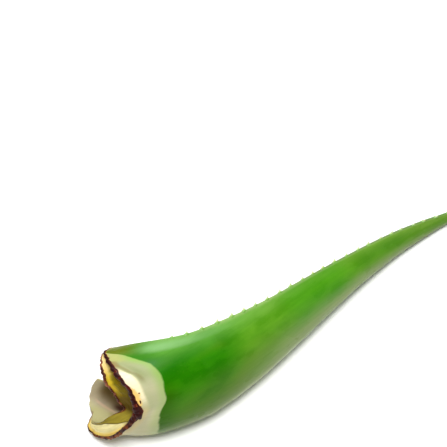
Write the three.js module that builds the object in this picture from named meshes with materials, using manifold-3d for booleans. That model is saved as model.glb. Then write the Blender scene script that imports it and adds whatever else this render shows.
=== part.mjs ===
// Aloe vera leaf: one leaf as cut from its plant, lying on its side.
// Millimetres, +Z up. The leaf lies along +X from its cut base to its tip, and
// the origin is at the bottom centre of its box, on the surface it rests on.
//
// The leaf is one sheet of thick flesh. Its section is an arc that clasps the
// plant at the base, where its thin lower wing curls in, and opens out towards
// the tip. It is thick along the back and thin at the two edges, which carry
// the teeth.

import * as THREE from 'three';
import { mergeVertices } from 'three/addons/utils/BufferGeometryUtils.js';
import Module from 'manifold-3d';

// The middle line, from the cut base to the tip: control points of one curve.
const MIDDLE_LINE = [
  [-211, 4, 45.5],
  [-117, -43, 45],
  [-23, -4, 41],
  [70, 8, 20],
  [164, 17, 9],
  [258, 8, 0],
];

// The section at a few stations, from 0 at the cut base to 1 at the tip.
const STATIONS = [0, 0.08, 0.2, 0.4, 0.6, 0.8, 0.93, 1];
const WIDTH = [86, 96, 89, 67, 47, 28.5, 15, 6];
const BOW = [35, 37, 32, 30, 25, 14, 8, 5];
const THICKNESS = [16, 19, 23, 20, 14.5, 9, 6, 4];
// How far the hollow face follows the arc of the back: 1 keeps the sheet even,
// 0 leaves the hollow face nearly flat, as it is towards the tip.
const HOLLOW_FOLLOWS = [1, 1, 0.85, 0.5, 0.25, 0, 0, 0];
// How far the sheet turns from its keel to each edge, in degrees.
const TURN_TO_UPPER_EDGE = [112, 84, 66, 60, 62, 64, 60, 60];
const TURN_TO_LOWER_EDGE = [165, 138, 112, 90, 75, 64, 60, 60];
// A wing that turns further than this curls in, and the middle stays in place.
const CURLS_IN_PAST = 120;
// How far the upper edge leans back, in degrees from upright.
const LEAN = [21, 29, 37, 37, 26, 10, 0, 0];

// The edges are rounded, this thick close behind the teeth.
const EDGE_THICKNESS = 3;
const EDGE_SHARE_OF_THICKNESS = 0.35;
const EDGE_SQUARENESS = 8;
// How fast the flesh thins towards the edges; the clasping base has thin wings.
const FLESH_FALL = 1.1;
const WING_THINNING = 1.3;

// The cut: how far it lies towards the tip, from the lower edge at -1 through
// the keel to the upper edge at 1. It fades out over the first part of the leaf.
const CUT_STATIONS = [
  -1, -0.93, -0.8, -0.7, -0.6, -0.4, -0.2, -0.1, 0.03, 0.25, 0.5, 0.75, 0.83, 1,
];
const CUT_BACK = [-20, -27, -31, -29.5, -35, -21.5, -3, 7, 16, 11, 0.5, -8.5, -10.5, -2.5];
const CUT_FADE = 0.16;
const CUT_FADE_POWER = 1.6;
// The cut slants through the sheet: its hollow side is further back than its
// outer side, at the same places across the leaf.
const CUT_SLANT = [0, 0, 0, -1.5, -4.5, 0, 8, 5, 18, 17.5, 12.5, 5.5, 3.5, 0];

// The dried rim stands out a little, and is torn unevenly along the cut. A soft
// crease runs behind it, and both fade out at the two edges.
const RIM_FLARE = 1;
const RIM_LENGTH = 8;
const RIM_TEAR = 1.1;
const RIM_WAVES = [
  { share: 0.55, pace: 9.5, start: 0.6 },
  { share: 0.45, pace: 23, start: 2.1 },
];
const CREASE_DEPTH = 0.9;
const CREASE_FROM_CUT = 15;
const CREASE_WIDTH = 7;
const RELIEF_EDGE_FADE = 6;

// The flesh has dried back between the rims, unevenly.
const FLESH_RECESS = 3.2;
const FLESH_RECESS_FULLNESS = 0.7;
const FLESH_EDGE_FADE = 4;
const FLESH_UNEVENNESS = 0.3;
const FLESH_PACE_ACROSS = 7;
const FLESH_PACE_THROUGH = 4;
const FLESH_STRIPS = 4;

// The tip is closed by a blunt round end, from this far along.
const TIP_ROUND_FROM = 0.985;

// Teeth along both edges, hooked towards the tip. They are smaller near the
// base and near the tip, and no two are quite alike.
const TOOTH_SPACING = 15.5;
const TOOTH_SPACING_SPREAD = 0.15;
const TOOTH_HEIGHT = 2.8;
const TOOTH_SIZE_SPREAD = 0.12;
const TOOTH_ROOT_LENGTH = 5;
const TOOTH_ROOT_THICKNESS = 2.4;
const TOOTH_SUNK = 2;
const TOOTH_HOOK = 1.8;
const TOOTH_HOOK_POWER = 1.5;
const TOOTH_WAIST_HEIGHT = 0.35;
const TOOTH_WAIST_SHARE = 0.6;
const TOOTH_SIDES = 6;
const FIRST_TOOTH_FROM_CUT = 58;
const FIRST_TOOTH_SIZE = 0.7;
const TEETH_GROW_OVER = 60;
const LAST_TOOTH_FROM_TIP = 12;
const TIP_TOOTH_SIZE = 0.55;
const TEETH_SHRINK_OVER = 72;
const SEED = 41;

// The leaf has settled this far onto the surface, which leaves small flat spots.
const SETTLED = 1;
const SURFACE_SPAN = 1000;
const SURFACE_DEPTH = 100;

// The mesh is finer at the cut and the tip, and at the two edges.
const RINGS = 62;
const RING_CROWDING = 0.1;
const POINTS_PER_HALF = 14;
const POINT_CROWDING = 0.35;
const WELD = 1e-4;

const LEAF_GREEN = 0x4f9a1e;
const WAXY_ROUGHNESS = 0.38;

const radians = THREE.MathUtils.degToRad;
const clamp = THREE.MathUtils.clamp;

// A smooth curve through hand-chosen values that never overshoots them.
function smoothCurve(stations, values) {
  const last = stations.length - 1;
  const step = stations.slice(1).map((x, i) => x - stations[i]);
  const slope = step.map((h, i) => (values[i + 1] - values[i]) / h);
  const tangent = values.map((_, i) => {
    if (i === 0) return slope[0];
    if (i === last) return slope[last - 1];
    if (slope[i - 1] * slope[i] <= 0) return 0;
    const before = 2 * step[i] + step[i - 1];
    const after = step[i] + 2 * step[i - 1];
    return (before + after) / (before / slope[i - 1] + after / slope[i]);
  });
  return (x) => {
    const at = clamp(x, stations[0], stations[last]);
    let i = 0;
    while (i < last - 1 && at > stations[i + 1]) i += 1;
    const t = (at - stations[i]) / step[i];
    const rest = 1 - t;
    return (1 + 2 * t) * rest * rest * values[i]
      + t * rest * rest * step[i] * tangent[i]
      + t * t * (3 - 2 * t) * values[i + 1]
      - t * t * rest * step[i] * tangent[i + 1];
  };
}

const width = smoothCurve(STATIONS, WIDTH);
const bow = smoothCurve(STATIONS, BOW);
const thickness = smoothCurve(STATIONS, THICKNESS);
const turnToUpper = smoothCurve(STATIONS, TURN_TO_UPPER_EDGE);
const turnToLower = smoothCurve(STATIONS, TURN_TO_LOWER_EDGE);
const lean = smoothCurve(STATIONS, LEAN);
const hollowFollows = smoothCurve(STATIONS, HOLLOW_FOLLOWS);
const cutBack = smoothCurve(CUT_STATIONS, CUT_BACK);
const cutSlant = smoothCurve(CUT_STATIONS, CUT_SLANT);

// The point and the direction of the middle line, u from 0 to 1.
function middleLine(u) {
  let points = MIDDLE_LINE.map((p) => new THREE.Vector3(...p));
  let direction = null;
  while (points.length > 1) {
    direction = points[points.length - 1].clone().sub(points[0]);
    points = points.slice(1).map((p, i) => points[i].clone().lerp(p, u));
  }
  return { point: points[0], along: direction.normalize() };
}

// The leaf's length along its middle line, from this many straight steps.
function lineLength(steps) {
  let length = 0;
  for (let i = 0; i < steps; i += 1) {
    length += middleLine(i / steps).point.distanceTo(middleLine((i + 1) / steps).point);
  }
  return length;
}

const LENGTH = lineLength(200);

// Across the leaf, from its lower to its upper edge, and inwards, from its
// rounded back to its hollow face.
function sectionFrame(u) {
  const { point, along } = middleLine(u);
  const level = new THREE.Vector3(0, 0, 1).cross(along).normalize();
  const upright = along.clone().cross(level);
  const angle = radians(lean(u));
  const across = upright.clone().multiplyScalar(Math.cos(angle));
  across.addScaledVector(level, Math.sin(angle));
  const inwards = level.clone().multiplyScalar(Math.cos(angle));
  inwards.addScaledVector(upright, -Math.sin(angle));
  return { point, along, across, inwards };
}

// 1 at the cut, falling to 0 where the clasping base ends.
function cutFade(u) {
  return Math.max(0, 1 - u / CUT_FADE) ** CUT_FADE_POWER;
}

// How thick the sheet is, v from -1 at the lower edge to 1 at the upper edge.
function sheetThickness(u, v) {
  const full = thickness(u);
  const edge = Math.min(EDGE_THICKNESS, full * EDGE_SHARE_OF_THICKNESS);
  const fall = FLESH_FALL + WING_THINNING * cutFade(u);
  const flesh = (full - edge) * (1 - v * v) ** fall;
  return flesh + edge * Math.sqrt(1 - v ** EDGE_SQUARENESS);
}

// A soft hump, 1 in its middle.
function hump(distance, width) {
  return Math.exp(-((distance / width) ** 2));
}

// How far the skin stands out: up at the dried rim, down in the crease.
function collarRelief(fromCut, v) {
  const flare = RIM_FLARE * hump(fromCut, RIM_LENGTH);
  const crease = CREASE_DEPTH * hump(fromCut - CREASE_FROM_CUT, CREASE_WIDTH);
  return (flare - crease) * (1 - v ** RELIEF_EDGE_FADE);
}

// How far the torn rim lies towards the tip.
function rimTear(fromCut, v) {
  let uneven = 0;
  for (const { share, pace, start } of RIM_WAVES) uneven += share * Math.sin(pace * v + start);
  return RIM_TEAR * uneven * hump(fromCut, RIM_LENGTH);
}

// The point on the back of the leaf and the point on its hollow face.
function sheet(u, v) {
  const { point, along, across, inwards } = sectionFrame(u);
  const fromCut = u * LENGTH;
  const blunt = clamp((u - TIP_ROUND_FROM) / (1 - TIP_ROUND_FROM), 0, 1);
  const size = Math.sqrt(1 - blunt * blunt);
  const half = width(u) / 2;
  const deep = bow(u);
  const upper = radians(turnToUpper(u));
  const lower = radians(turnToLower(u));
  const angle = v < 0 ? v * lower : v * upper;

  const normal = new THREE.Vector2(-Math.sin(angle) / half, Math.cos(angle) / deep).normalize();
  const inside = normal.clone().lerp(new THREE.Vector2(0, 1), 1 - hollowFollows(u)).normalize();
  const back = new THREE.Vector2(half * Math.sin(angle), -deep * Math.cos(angle));
  const hollow = back.clone().addScaledVector(inside, sheetThickness(u, v));
  back.addScaledVector(normal, -collarRelief(fromCut, v));
  const edgeDepth = -deep * Math.cos(Math.min(Math.max(upper, lower), radians(CURLS_IN_PAST)));
  const middle = (Math.max(edgeDepth, thickness(u) - deep) - deep) / 2;

  const fade = cutFade(u);
  const shift = cutBack(v) * fade + rimTear(fromCut, v);
  const place = (flat, forward) => point.clone()
    .addScaledVector(across, flat.x * size)
    .addScaledVector(inwards, (flat.y - middle) * size)
    .addScaledVector(along, forward);
  return {
    back: place(back, shift),
    hollow: place(hollow, shift - cutSlant(v) * fade),
  };
}

// Rings are closer together at the cut and at the tip.
function ringPlace(share) {
  return share - RING_CROWDING * Math.sin(2 * Math.PI * share);
}

// Points are closer together at the two edges.
function pointPlace(share) {
  return THREE.MathUtils.lerp(share, Math.sin((share * Math.PI) / 2), POINT_CROWDING);
}

// Two triangles for each cell of a grid of points.
function gridTriangles(rows) {
  const triangles = [];
  for (let i = 0; i + 1 < rows.length; i += 1) {
    for (let j = 0; j + 1 < rows[i].length; j += 1) {
      triangles.push(rows[i][j], rows[i + 1][j + 1], rows[i][j + 1]);
      triangles.push(rows[i][j], rows[i + 1][j], rows[i + 1][j + 1]);
    }
  }
  return triangles;
}

// How deep the flesh lies behind the rims, share from 0 at the outer rim to 1
// at the hollow one.
function fleshDepth(share, v) {
  const dish = Math.sin(Math.PI * share) ** FLESH_RECESS_FULLNESS * (1 - v ** FLESH_EDGE_FADE);
  const wave = Math.sin(FLESH_PACE_ACROSS * v + FLESH_PACE_THROUGH * share);
  return FLESH_RECESS * dish * (1 + FLESH_UNEVENNESS * wave);
}

// One closed blade: the skin all round, and the dried-back flesh in the cut.
function bladeTriangles() {
  const places = [];
  for (let j = -POINTS_PER_HALF; j <= POINTS_PER_HALF; j += 1) {
    places.push(pointPlace(j / POINTS_PER_HALF));
  }
  const skin = [];
  for (let i = 0; i <= RINGS; i += 1) {
    const ring = places.map((v) => sheet(ringPlace(i / RINGS), v));
    const hollow = ring.map((p) => p.hollow).reverse();
    skin.push([...hollow, ...ring.map((p) => p.back).slice(1)]);
  }

  const rim = places.map((v) => sheet(0, v));
  const { along } = middleLine(0);
  const cut = [];
  for (let i = 0; i <= FLESH_STRIPS; i += 1) {
    const share = 1 - i / FLESH_STRIPS;
    cut.push(places.map((v, j) => (
      rim[j].back.clone().lerp(rim[j].hollow, share).addScaledVector(along, fleshDepth(share, v))
    )));
  }
  return [...gridTriangles(skin), ...gridTriangles(cut)];
}

// A solid from loose triangles. Cells that close to a point lose a triangle.
function solid(wasm, triangles) {
  const loose = new THREE.BufferGeometry().setFromPoints(triangles);
  const merged = mergeVertices(loose, WELD);
  const corners = Array.from(merged.index.array);
  const kept = [];
  for (let i = 0; i < corners.length; i += 3) {
    const [a, b, c] = corners.slice(i, i + 3);
    if (a !== b && b !== c && c !== a) kept.push(a, b, c);
  }
  return new wasm.Manifold(new wasm.Mesh({
    numProp: 3,
    vertProperties: new Float32Array(merged.attributes.position.array),
    triVerts: new Uint32Array(kept),
  }));
}

// Even draws from -1 to 1, the same at every build.
function makeDraw(seed) {
  const factor = 16807;
  const limit = 2147483647;
  let state = seed;
  return () => {
    state = (state * factor) % limit;
    return (2 * state) / limit - 1;
  };
}

// The edge of the leaf at one tooth: where it is, which way it runs, and which
// way is out. The teeth under the leaf are pressed level by its weight.
function edgeFrame(u, side) {
  const justInside = 0.9;
  const justFurther = 0.004;
  const edge = sheet(u, side).back;
  const along = sheet(u + justFurther, side).back.sub(edge).normalize();
  const near = sheet(u, side * justInside);
  const out = edge.clone().sub(near.back.lerp(near.hollow, 0.5));
  out.addScaledVector(along, -out.dot(along));
  out.z = Math.max(0, out.z);
  out.normalize();
  return { edge, along, out };
}

// One tooth: a small hooked cone whose root is sunk in the edge of the leaf.
function toothTriangles(u, side, size) {
  const { edge, along, out } = edgeFrame(u, side);
  const flat = along.clone().cross(out);

  const ring = (height, share) => {
    const hook = TOOTH_HOOK * size * Math.max(0, height / TOOTH_HEIGHT) ** TOOTH_HOOK_POWER;
    const middle = edge.clone().addScaledVector(out, height * size);
    middle.addScaledVector(along, hook);
    const points = [];
    for (let k = 0; k <= TOOTH_SIDES; k += 1) {
      const angle = (2 * Math.PI * (k % TOOTH_SIDES)) / TOOTH_SIDES;
      points.push(middle.clone()
        .addScaledVector(along, Math.cos(angle) * share * size * TOOTH_ROOT_LENGTH / 2)
        .addScaledVector(flat, Math.sin(angle) * share * size * TOOTH_ROOT_THICKNESS / 2));
    }
    return points;
  };
  return gridTriangles([
    ring(-TOOTH_SUNK, 0),
    ring(-TOOTH_SUNK, 1),
    ring(TOOTH_HEIGHT * TOOTH_WAIST_HEIGHT, TOOTH_WAIST_SHARE),
    ring(TOOTH_HEIGHT, 0),
  ]);
}

// Where the teeth stand along one edge, with their sizes.
function toothPlaces(draw) {
  const places = [];
  let fromCut = FIRST_TOOTH_FROM_CUT;
  while (fromCut < LENGTH - LAST_TOOTH_FROM_TIP) {
    const pastFirst = clamp((fromCut - FIRST_TOOTH_FROM_CUT) / TEETH_GROW_OVER, 0, 1);
    const beforeTip = clamp((LENGTH - fromCut) / TEETH_SHRINK_OVER, 0, 1);
    const size = THREE.MathUtils.lerp(FIRST_TOOTH_SIZE, 1, pastFirst)
      * THREE.MathUtils.lerp(TIP_TOOTH_SIZE, 1, beforeTip)
      * (1 + TOOTH_SIZE_SPREAD * draw());
    places.push({ u: fromCut / LENGTH, size });
    fromCut += TOOTH_SPACING * (1 + TOOTH_SPACING_SPREAD * draw());
  }
  return places;
}

function leafBody(wasm) {
  const draw = makeDraw(SEED);
  let body = solid(wasm, bladeTriangles());
  for (const side of [1, -1]) {
    for (const { u, size } of toothPlaces(draw)) {
      body = body.add(solid(wasm, toothTriangles(u, side, size)));
    }
  }
  return body;
}

// The surface it lies on takes a little off its lowest spots.
function settle(wasm, body) {
  const height = body.boundingBox().min[2] + SETTLED;
  const surface = new THREE.BoxGeometry(SURFACE_SPAN, SURFACE_SPAN, SURFACE_DEPTH);
  surface.translate(0, 0, height - SURFACE_DEPTH / 2);
  const corners = surface.toNonIndexed().attributes.position;
  const triangles = Array.from({ length: corners.count }, (_, i) => (
    new THREE.Vector3().fromBufferAttribute(corners, i)
  ));
  return body.subtract(solid(wasm, triangles));
}

// The finished mesh, with its origin at the bottom centre of its box.
function geometryOf(body) {
  const mesh = body.getMesh();
  const geometry = new THREE.BufferGeometry();
  const positions = new Float32Array(mesh.vertProperties);
  geometry.setAttribute('position', new THREE.BufferAttribute(positions, 3));
  geometry.setIndex(new THREE.BufferAttribute(new Uint32Array(mesh.triVerts), 1));
  geometry.computeBoundingBox();
  const box = geometry.boundingBox;
  geometry.translate(-(box.min.x + box.max.x) / 2, -(box.min.y + box.max.y) / 2, -box.min.z);
  geometry.computeVertexNormals();
  return geometry;
}

const wasm = await Module();
wasm.setup();

const skin = new THREE.MeshStandardMaterial({
  color: LEAF_GREEN,
  roughness: WAXY_ROUGHNESS,
  metalness: 0,
});
const leaf = new THREE.Mesh(geometryOf(settle(wasm, leafBody(wasm))), skin);
leaf.name = 'leaf';

const plant = new THREE.Group();
plant.add(leaf);

export default plant;
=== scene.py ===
# %% [markdown]
# # A cut aloe vera leaf
# One leaf lies on its side on a white table. It is thick and waxy: vivid green
# over most of its length, pale where it clasped the plant, and dark red along the
# cut, where the juice has dried. Small soft teeth stand along both edges. The
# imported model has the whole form. This script makes it again as a much finer
# skin, from the same formulas, and gives it its looks.

import math
from functools import partial

import bmesh
import bpy
import numpy as np
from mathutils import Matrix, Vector


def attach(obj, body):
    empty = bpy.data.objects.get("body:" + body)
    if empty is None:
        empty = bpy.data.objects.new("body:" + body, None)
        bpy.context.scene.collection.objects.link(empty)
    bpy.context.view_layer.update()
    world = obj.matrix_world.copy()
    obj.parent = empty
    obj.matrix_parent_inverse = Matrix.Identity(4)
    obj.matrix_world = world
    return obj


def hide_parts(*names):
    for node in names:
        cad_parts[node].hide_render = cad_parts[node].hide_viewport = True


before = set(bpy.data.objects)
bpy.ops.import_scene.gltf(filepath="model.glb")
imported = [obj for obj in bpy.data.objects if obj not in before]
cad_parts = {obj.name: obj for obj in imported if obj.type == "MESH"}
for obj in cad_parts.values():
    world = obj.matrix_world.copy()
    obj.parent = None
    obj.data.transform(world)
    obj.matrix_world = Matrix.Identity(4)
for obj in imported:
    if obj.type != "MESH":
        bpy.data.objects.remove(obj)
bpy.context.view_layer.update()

# %% [markdown]
# ## Curves through a few measured values
# A leaf has no straight line in it. Its width, thickness and bow were judged at a
# few places, and a smooth curve joins them. A plain spline would swing past the
# values it joins and dent the leaf, so this curve never overshoots. It takes
# whole arrays, which keeps the mesh quick.

# %% A smooth curve that never overshoots
MM = 0.001


def smooth_curve(stations, values):
    """A curve through the values at the stations."""
    x, y = np.array(stations, float), np.array(values, float)
    step = np.diff(x)
    slope = np.diff(y) / step
    tangent = np.zeros(len(x))
    tangent[0], tangent[-1] = slope[0], slope[-1]
    for i in range(1, len(x) - 1):
        if slope[i - 1] * slope[i] > 0:
            before, after = 2 * step[i] + step[i - 1], step[i] + 2 * step[i - 1]
            tangent[i] = (before + after) / (before / slope[i - 1] + after / slope[i])

    def curve(at):
        at = np.clip(at, x[0], x[-1])
        i = np.clip(np.searchsorted(x, at) - 1, 0, len(step) - 1)
        t = (at - x[i]) / step[i]
        rest = 1 - t
        return (
            (1 + 2 * t) * rest**2 * y[i]
            + t * rest**2 * step[i] * tangent[i]
            + t**2 * (3 - 2 * t) * y[i + 1]
            - t**2 * rest * step[i] * tangent[i + 1]
        )

    return curve


def hump(distance, width):
    """A soft hump, 1 in its middle."""
    return np.exp(-((distance / width) ** 2))


def new_object(name, data):
    """A new object in the scene."""
    thing = bpy.data.objects.new(name, data)
    bpy.context.scene.collection.objects.link(thing)
    return thing


def unit(vectors):
    """The same directions, with length 1."""
    return vectors / np.linalg.norm(vectors, axis=-1, keepdims=True)


def once_round(count):
    """Even angles for a ring of so many points."""
    return np.arange(count) / count * 2 * math.pi


def oval(half_length, half_breadth, count):
    """Points round an oval, from its two half axes."""
    angle = once_round(count)[:, None]
    return half_length * np.cos(angle) + half_breadth * np.sin(angle)


# %% [markdown]
# ## The leaf's own measures, in millimetres
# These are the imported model's own sizes, because the fine skin has to lie where
# the solid lies. Stations run from 0 at the cut to 1 at the tip. Across the leaf,
# -1 is its lower edge, 0 its keel and 1 its upper edge.

# %% The sizes along the leaf
MIDDLE_LINE = np.array(
    [[-211, 4, 45.5], [-117, -43, 45], [-23, -4, 41], [70, 8, 20], [164, 17, 9], [258, 8, 0]],
    float,
)
STATIONS = [0, 0.08, 0.2, 0.4, 0.6, 0.8, 0.93, 1]
width = smooth_curve(STATIONS, [86, 96, 89, 67, 47, 28.5, 15, 6])
bow = smooth_curve(STATIONS, [35, 37, 32, 30, 25, 14, 8, 5])
thickness = smooth_curve(STATIONS, [16, 19, 23, 20, 14.5, 9, 6, 4])
hollow_follows = smooth_curve(STATIONS, [1, 1, 0.85, 0.5, 0.25, 0, 0, 0])
turn_to_upper = smooth_curve(STATIONS, [112, 84, 66, 60, 62, 64, 60, 60])
turn_to_lower = smooth_curve(STATIONS, [165, 138, 112, 90, 75, 64, 60, 60])
lean = smooth_curve(STATIONS, [21, 29, 37, 37, 26, 10, 0, 0])
CURLS_IN_PAST = 120
TIP_ROUND_FROM = 0.985

# %% The sizes across the leaf and round its cut
EDGE_THICKNESS, EDGE_SHARE_OF_THICKNESS, EDGE_SQUARENESS = 3, 0.35, 8
FLESH_FALL, WING_THINNING = 1.1, 1.3
CUT_STATIONS = [-1, -0.93, -0.8, -0.7, -0.6, -0.4, -0.2, -0.1, 0.03, 0.25, 0.5, 0.75, 0.83, 1]
cut_back = smooth_curve(
    CUT_STATIONS, [-20, -27, -31, -29.5, -35, -21.5, -3, 7, 16, 11, 0.5, -8.5, -10.5, -2.5]
)
cut_slant = smooth_curve(CUT_STATIONS, [0, 0, 0, -1.5, -4.5, 0, 8, 5, 18, 17.5, 12.5, 5.5, 3.5, 0])
CUT_FADE, CUT_FADE_POWER = 0.16, 1.6
RIM_FLARE, RIM_LENGTH, RIM_TEAR = 1, 8, 1.1
RIM_WAVES = [(0.55, 9.5, 0.6), (0.45, 23, 2.1)]
CREASE_DEPTH, CREASE_WIDTH, RELIEF_EDGE_FADE = 0.9, 5, 6
crease_from_cut = smooth_curve(
    [-1, -0.3, 0.2, 0.4, 0.47, 0.53, 0.62, 0.7, 1], [15, 15, 15, 16.2, 14.3, 11.7, 6, 3, 1]
)
print("the cut reaches back", -min(cut_back(np.linspace(-1, 1, 201))).round(1), "mm on the lower wing")

# %% [markdown]
# ## From a place on the leaf to a point in space
# Each place is named by how far along and how far across the leaf it is. The
# middle line gives a point and a direction, and the section is an arc round it.
# The back of the leaf is that arc, and the hollow face lies one thickness of
# flesh inside it. The form could also be a subdivision surface over a cage drawn
# by hand, but then every mark on the skin would be placed by eye. Here the same
# two numbers also place the teeth, the pale collar and the cut.


# %% The middle line and the section round it
def middle_line(share):
    """The point and the direction of the middle line."""
    share = np.asarray(share, float)[..., None]
    points = [np.broadcast_to(p, share.shape[:-1] + (3,)) for p in MIDDLE_LINE]
    while len(points) > 1:
        direction = points[-1] - points[0]
        points = [a + (b - a) * share for a, b in zip(points, points[1:])]
    return points[0], unit(direction)


line_points = middle_line(np.linspace(0, 1, 201))[0]
LENGTH = np.linalg.norm(np.diff(line_points, axis=0), axis=1).sum()
print("the leaf is", round(LENGTH), "mm long along its middle line")


def section_frame(share):
    """Across the leaf, from its lower to its upper edge, and inwards, from back to hollow."""
    point, along = middle_line(share)
    level = unit(np.cross([0, 0, 1], along))
    upright = np.cross(along, level)
    angle = np.radians(lean(share))[..., None]
    across = upright * np.cos(angle) + level * np.sin(angle)
    inwards = level * np.cos(angle) - upright * np.sin(angle)
    return point, along, across, inwards


def cut_fade(share):
    """1 at the cut, falling to 0 where the clasping base ends."""
    return np.maximum(0, 1 - share / CUT_FADE) ** CUT_FADE_POWER


def sheet_thickness(share, side):
    """How thick the flesh is: full at the keel, thin and rounded at the edges."""
    full = thickness(share)
    edge = np.minimum(EDGE_THICKNESS, full * EDGE_SHARE_OF_THICKNESS)
    fall = FLESH_FALL + WING_THINNING * cut_fade(share)
    rounded = np.sqrt(np.maximum(0, 1 - side**EDGE_SQUARENESS))
    return (full - edge) * (1 - side**2) ** fall + edge * rounded


# %% [markdown]
# Real skin is never as even as its formula. Long shallow swells make the gloss
# wander. They are a sum of a few slow waves, at most a quarter of a millimetre
# high, so they stay inside the solid's box. The rim of the cut is torn unevenly,
# with a soft crease behind it.


# %% Small unevenness of the living skin
def swell(share, side):
    """Long shallow waves in the skin, in millimetres."""
    waves = [(0.10, 9, 3.1, 0.4), (0.07, 17, -5.3, 1.9), (0.05, 31, 8.7, 4.2), (0.03, 6, 15.1, 2.6)]
    total = 0
    for height, pace_along, pace_across, start in waves:
        total = total + height * np.sin(pace_along * share * math.pi + pace_across * side + start)
    return total * (1 - side**8)


def collar_relief(from_cut, side):
    """How far the skin stands out: up at the dried rim, down in the crease."""
    flare = RIM_FLARE * hump(from_cut, RIM_LENGTH)
    crease = CREASE_DEPTH * hump(from_cut - crease_from_cut(side), CREASE_WIDTH)
    return (flare - crease) * (1 - side**RELIEF_EDGE_FADE)


def rim_tear(from_cut, side):
    """How far the torn rim lies towards the tip."""
    uneven = sum(part * np.sin(pace * side + start) for part, pace, start in RIM_WAVES)
    fine = 0.3 * np.sin(61 * side + 1.3) + 0.25 * np.sin(97 * side + 0.2)
    return RIM_TEAR * (uneven * hump(from_cut, RIM_LENGTH) + fine * hump(from_cut, 2.5))


def sheet(share, side):
    """The points on the back of the leaf and on its hollow face, in millimetres."""
    share, side = np.broadcast_arrays(np.asarray(share, float), np.asarray(side, float))
    point, along, across, inwards = section_frame(share)
    from_cut = share * LENGTH
    blunt = np.clip((share - TIP_ROUND_FROM) / (1 - TIP_ROUND_FROM), 0, 1)
    size = np.sqrt(1 - blunt**2)[..., None]
    half, deep = width(share) / 2, bow(share)
    upper, lower = np.radians(turn_to_upper(share)), np.radians(turn_to_lower(share))
    angle = np.where(side < 0, side * lower, side * upper)

    normal = unit(np.stack([-np.sin(angle) / half, np.cos(angle) / deep], -1))
    flatter = (1 - hollow_follows(share))[..., None]
    inside = unit(normal * (1 - flatter) + np.array([0, 1]) * flatter)
    back = np.stack([half * np.sin(angle), -deep * np.cos(angle)], -1)
    hollow = back + inside * sheet_thickness(share, side)[..., None]
    standing = collar_relief(from_cut, side) + swell(share, side) * np.minimum(1, half / 30)
    back = back - normal * standing[..., None]

    turn = np.minimum(np.maximum(upper, lower), np.radians(CURLS_IN_PAST))
    middle = (np.maximum(-deep * np.cos(turn), thickness(share) - deep) - deep) / 2
    fade = cut_fade(share)
    shift = cut_back(side) * fade + rim_tear(from_cut, side)

    def place(flat, forward):
        depth = flat[..., 1:] - middle[..., None]
        return point + across * flat[..., :1] * size + inwards * depth * size + along * forward[..., None]

    return place(back, shift), place(hollow, shift - cut_slant(side) * fade)


# %% [markdown]
# The solid's origin is at the bottom centre of its box. The solid's very tip is
# the end of the middle line, so the difference of the two says how far all else
# moves. The leaf has settled a little, so what would reach below the table lies
# flat on it.

# %% Where the leaf lies in the frame
solid_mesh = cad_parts["leaf"].data
solid_points = np.zeros(len(solid_mesh.vertices) * 3)
solid_mesh.vertices.foreach_get("co", solid_points)
solid_points = solid_points.reshape(-1, 3)
tip_point = solid_points[solid_points[:, 0].argmax()]
FRAME_SHIFT = tip_point - MIDDLE_LINE[-1] * MM
print("the leaf moves by", (FRAME_SHIFT / MM).round(2), "mm into the frame")


def in_frame(points):
    """Millimetres along the leaf's own axes become metres in the frame, on the table."""
    moved = np.asarray(points) * MM + FRAME_SHIFT
    moved[..., 2] = np.maximum(moved[..., 2], 0)
    return moved


# %% [markdown]
# ## The skin
# The skin is a grid of rings, closer together at the cut, with their points closer
# together at the two edges. Each ring runs down the hollow face and back up over
# the rounded back. Such a grid is even and closed, and every vertex can carry
# what it knows about its place.

# %% A mesh that grows piece by piece
SHARP_FROM = math.radians(62)
MARKS = (
    "from_cut", "side", "hollow", "collar", "crease", "crusted", "girth", "through", "wing", "height", "outward",
)


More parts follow.
